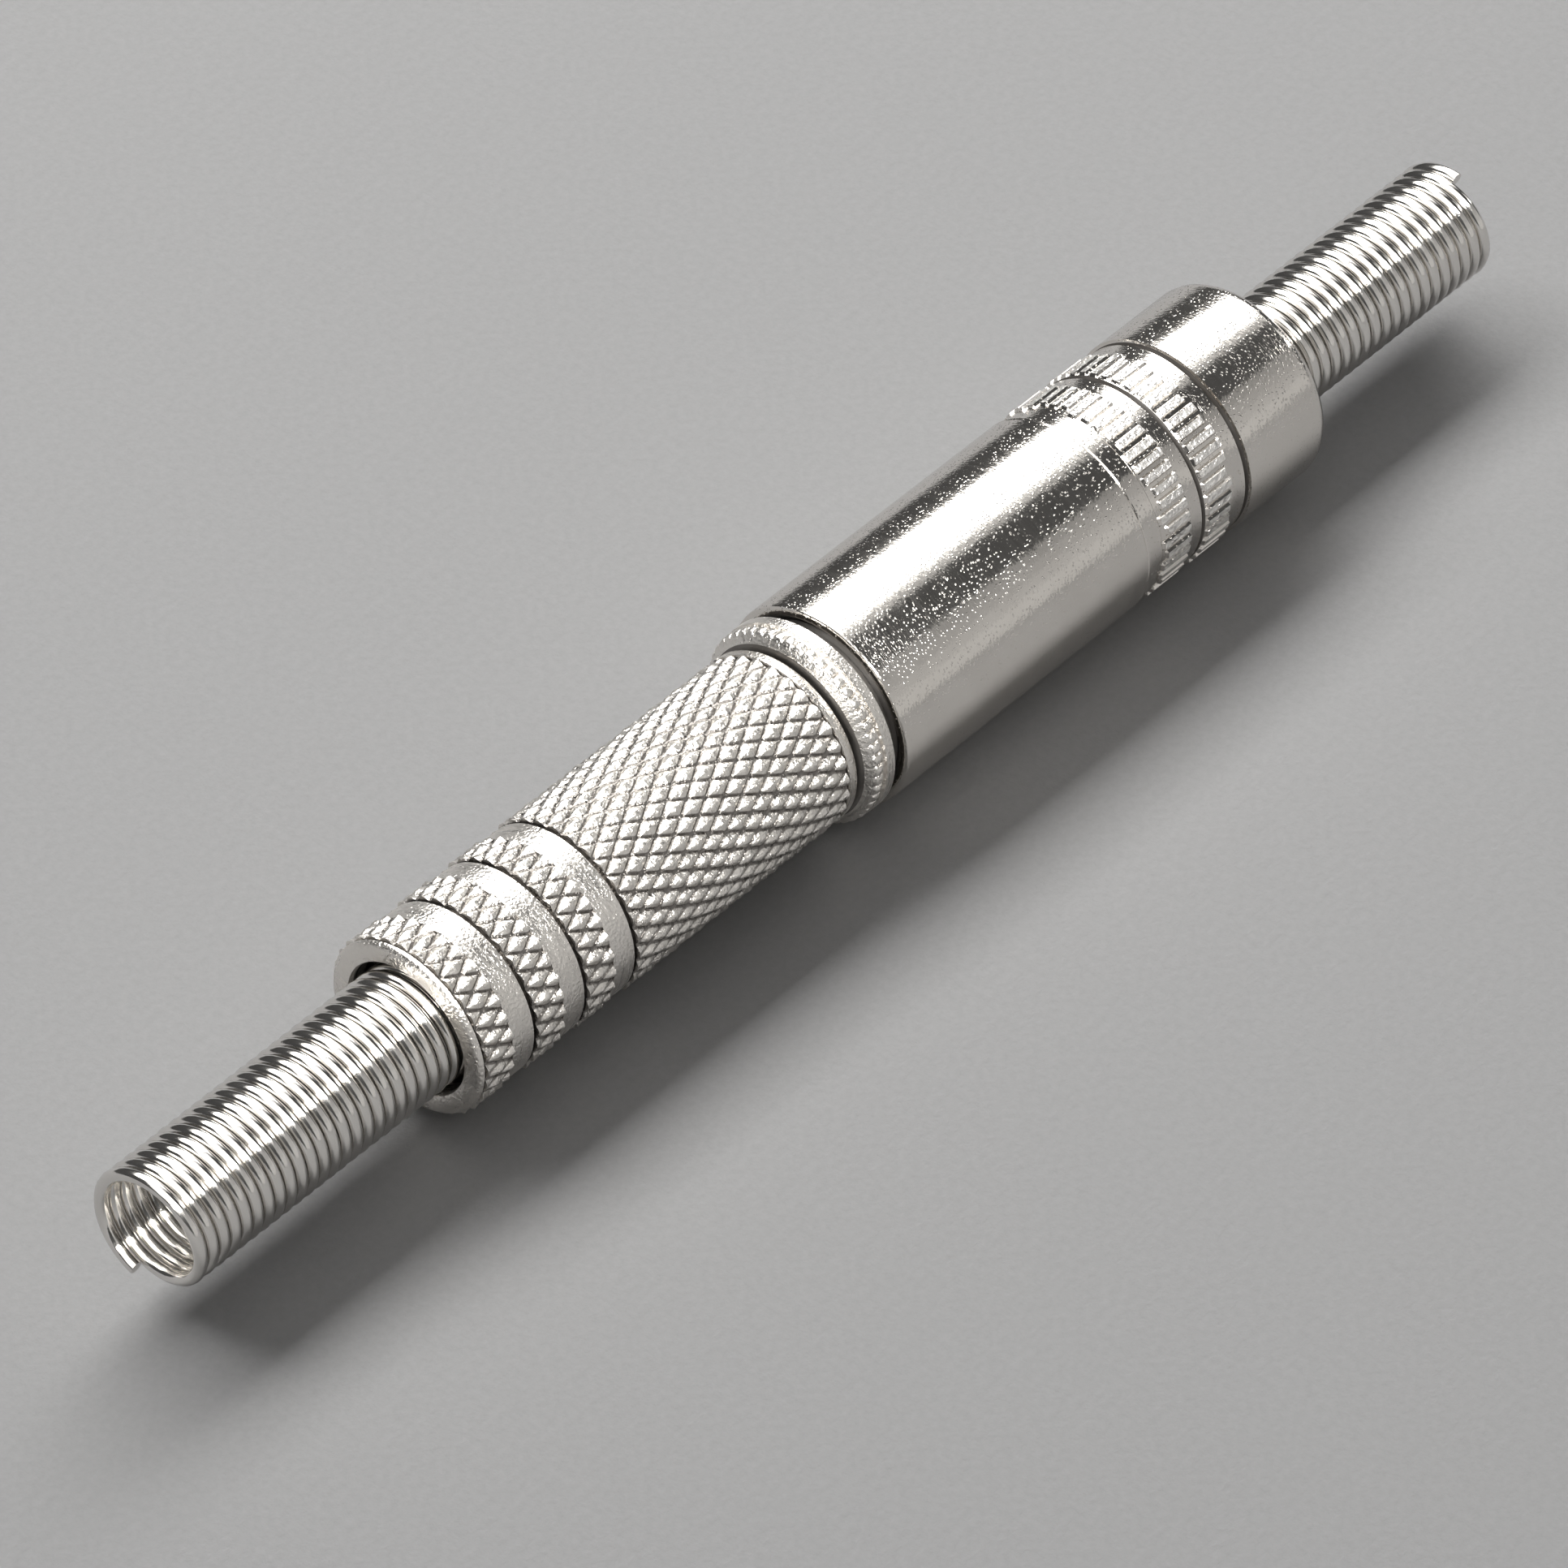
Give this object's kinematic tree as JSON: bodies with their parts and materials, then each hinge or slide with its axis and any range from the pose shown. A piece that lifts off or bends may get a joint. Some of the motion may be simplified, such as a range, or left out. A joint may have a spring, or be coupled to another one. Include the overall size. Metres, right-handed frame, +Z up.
{
  "type": "in-line audio plug and jack pair",
  "caption": "Three-pole in-line plug pushed into its mating jack, both in screw-on metal barrels with coil-spring strain reliefs for the cable.",
  "frame": {"origin": "midway along the pair, on the table that it lies on, under its axis", "axes": "+X from the plug's cable end to the jack's cable end, +Z up from the table"},
  "size_m": [0.0836, 0.0098, 0.0098],
  "materials": {
    "polished_nickel": "polished",
    "satin_nickel": "satin",
    "spring_wire": "polished",
    "turned_brass": "satin",
    "contact_bronze": "satin",
    "tinned_lug": "satin",
    "black_moulding": "satin",
    "white_wafer": "matte",
    "liner_film": "satin"
  },
  "bodies": {
    "jack_core": {"jack_bush": "turned_brass", "jack_insulator": "black_moulding", "jack_end_cap": "white_wafer", "jack_ring_spring": "contact_bronze", "jack_tip_spring": "contact_bronze", "jack_ground_lug": "tinned_lug", "jack_liner": "liner_film"},
    "jack_strain_spring": {"jack_spring": "spring_wire"},
    "jack_barrel": {"jack_shell": "polished_nickel"},
    "plug_liner_tube": {"plug_liner": "liner_film"},
    "plug_core": {"plug_body": "polished_nickel", "plug_ring_contact": "polished_nickel", "plug_ring_insulator": "black_moulding", "plug_tip_contact": "polished_nickel", "plug_tip_insulator": "black_moulding", "plug_outer_washer": "white_wafer", "plug_inner_washer": "white_wafer", "plug_ring_lug": "tinned_lug", "plug_tip_lug": "tinned_lug", "plug_ground_lug": "tinned_lug"},
    "plug_strain_spring": {"plug_spring": "spring_wire"},
    "plug_grip": {"plug_handle": "satin_nickel"}
  },
  "joints": [
    {"name": "jack_shell_travel", "type": "slide", "parent": "jack_core", "child": "jack_strain_spring", "axis": [1, 0, 0], "range_m": [0, 0.0045]},
    {"name": "jack_shell_turn", "type": "hinge", "parent": "jack_strain_spring", "child": "jack_barrel", "pos_m": [0, 0, 0.0049], "axis": [1, 0, 0], "range_deg": [0, 2160]},
    {"name": "plug_pull", "type": "slide", "parent": "jack_core", "child": "plug_liner_tube", "axis": [-1, 0, 0], "range_m": [0, 0.018], "deforming": ["jack_ring_spring", "jack_tip_spring"]},
    {"name": "plug_turn", "type": "hinge", "parent": "plug_liner_tube", "child": "plug_core", "pos_m": [0, 0, 0.0049], "axis": [-1, 0, 0], "continuous": true},
    {"name": "plug_handle_travel", "type": "slide", "parent": "plug_core", "child": "plug_strain_spring", "axis": [-1, 0, 0], "range_m": [0, 0.00375]},
    {"name": "plug_handle_turn", "type": "hinge", "parent": "plug_strain_spring", "child": "plug_grip", "pos_m": [0, 0, 0.0049], "axis": [-1, 0, 0], "range_deg": [0, 1800]}
  ],
  "couplings": [
    {"joint": "jack_shell_turn", "follows": "jack_shell_travel", "rad_per_m": 8377.6},
    {"joint": "plug_handle_turn", "follows": "plug_handle_travel", "rad_per_m": 8377.6}
  ]
}
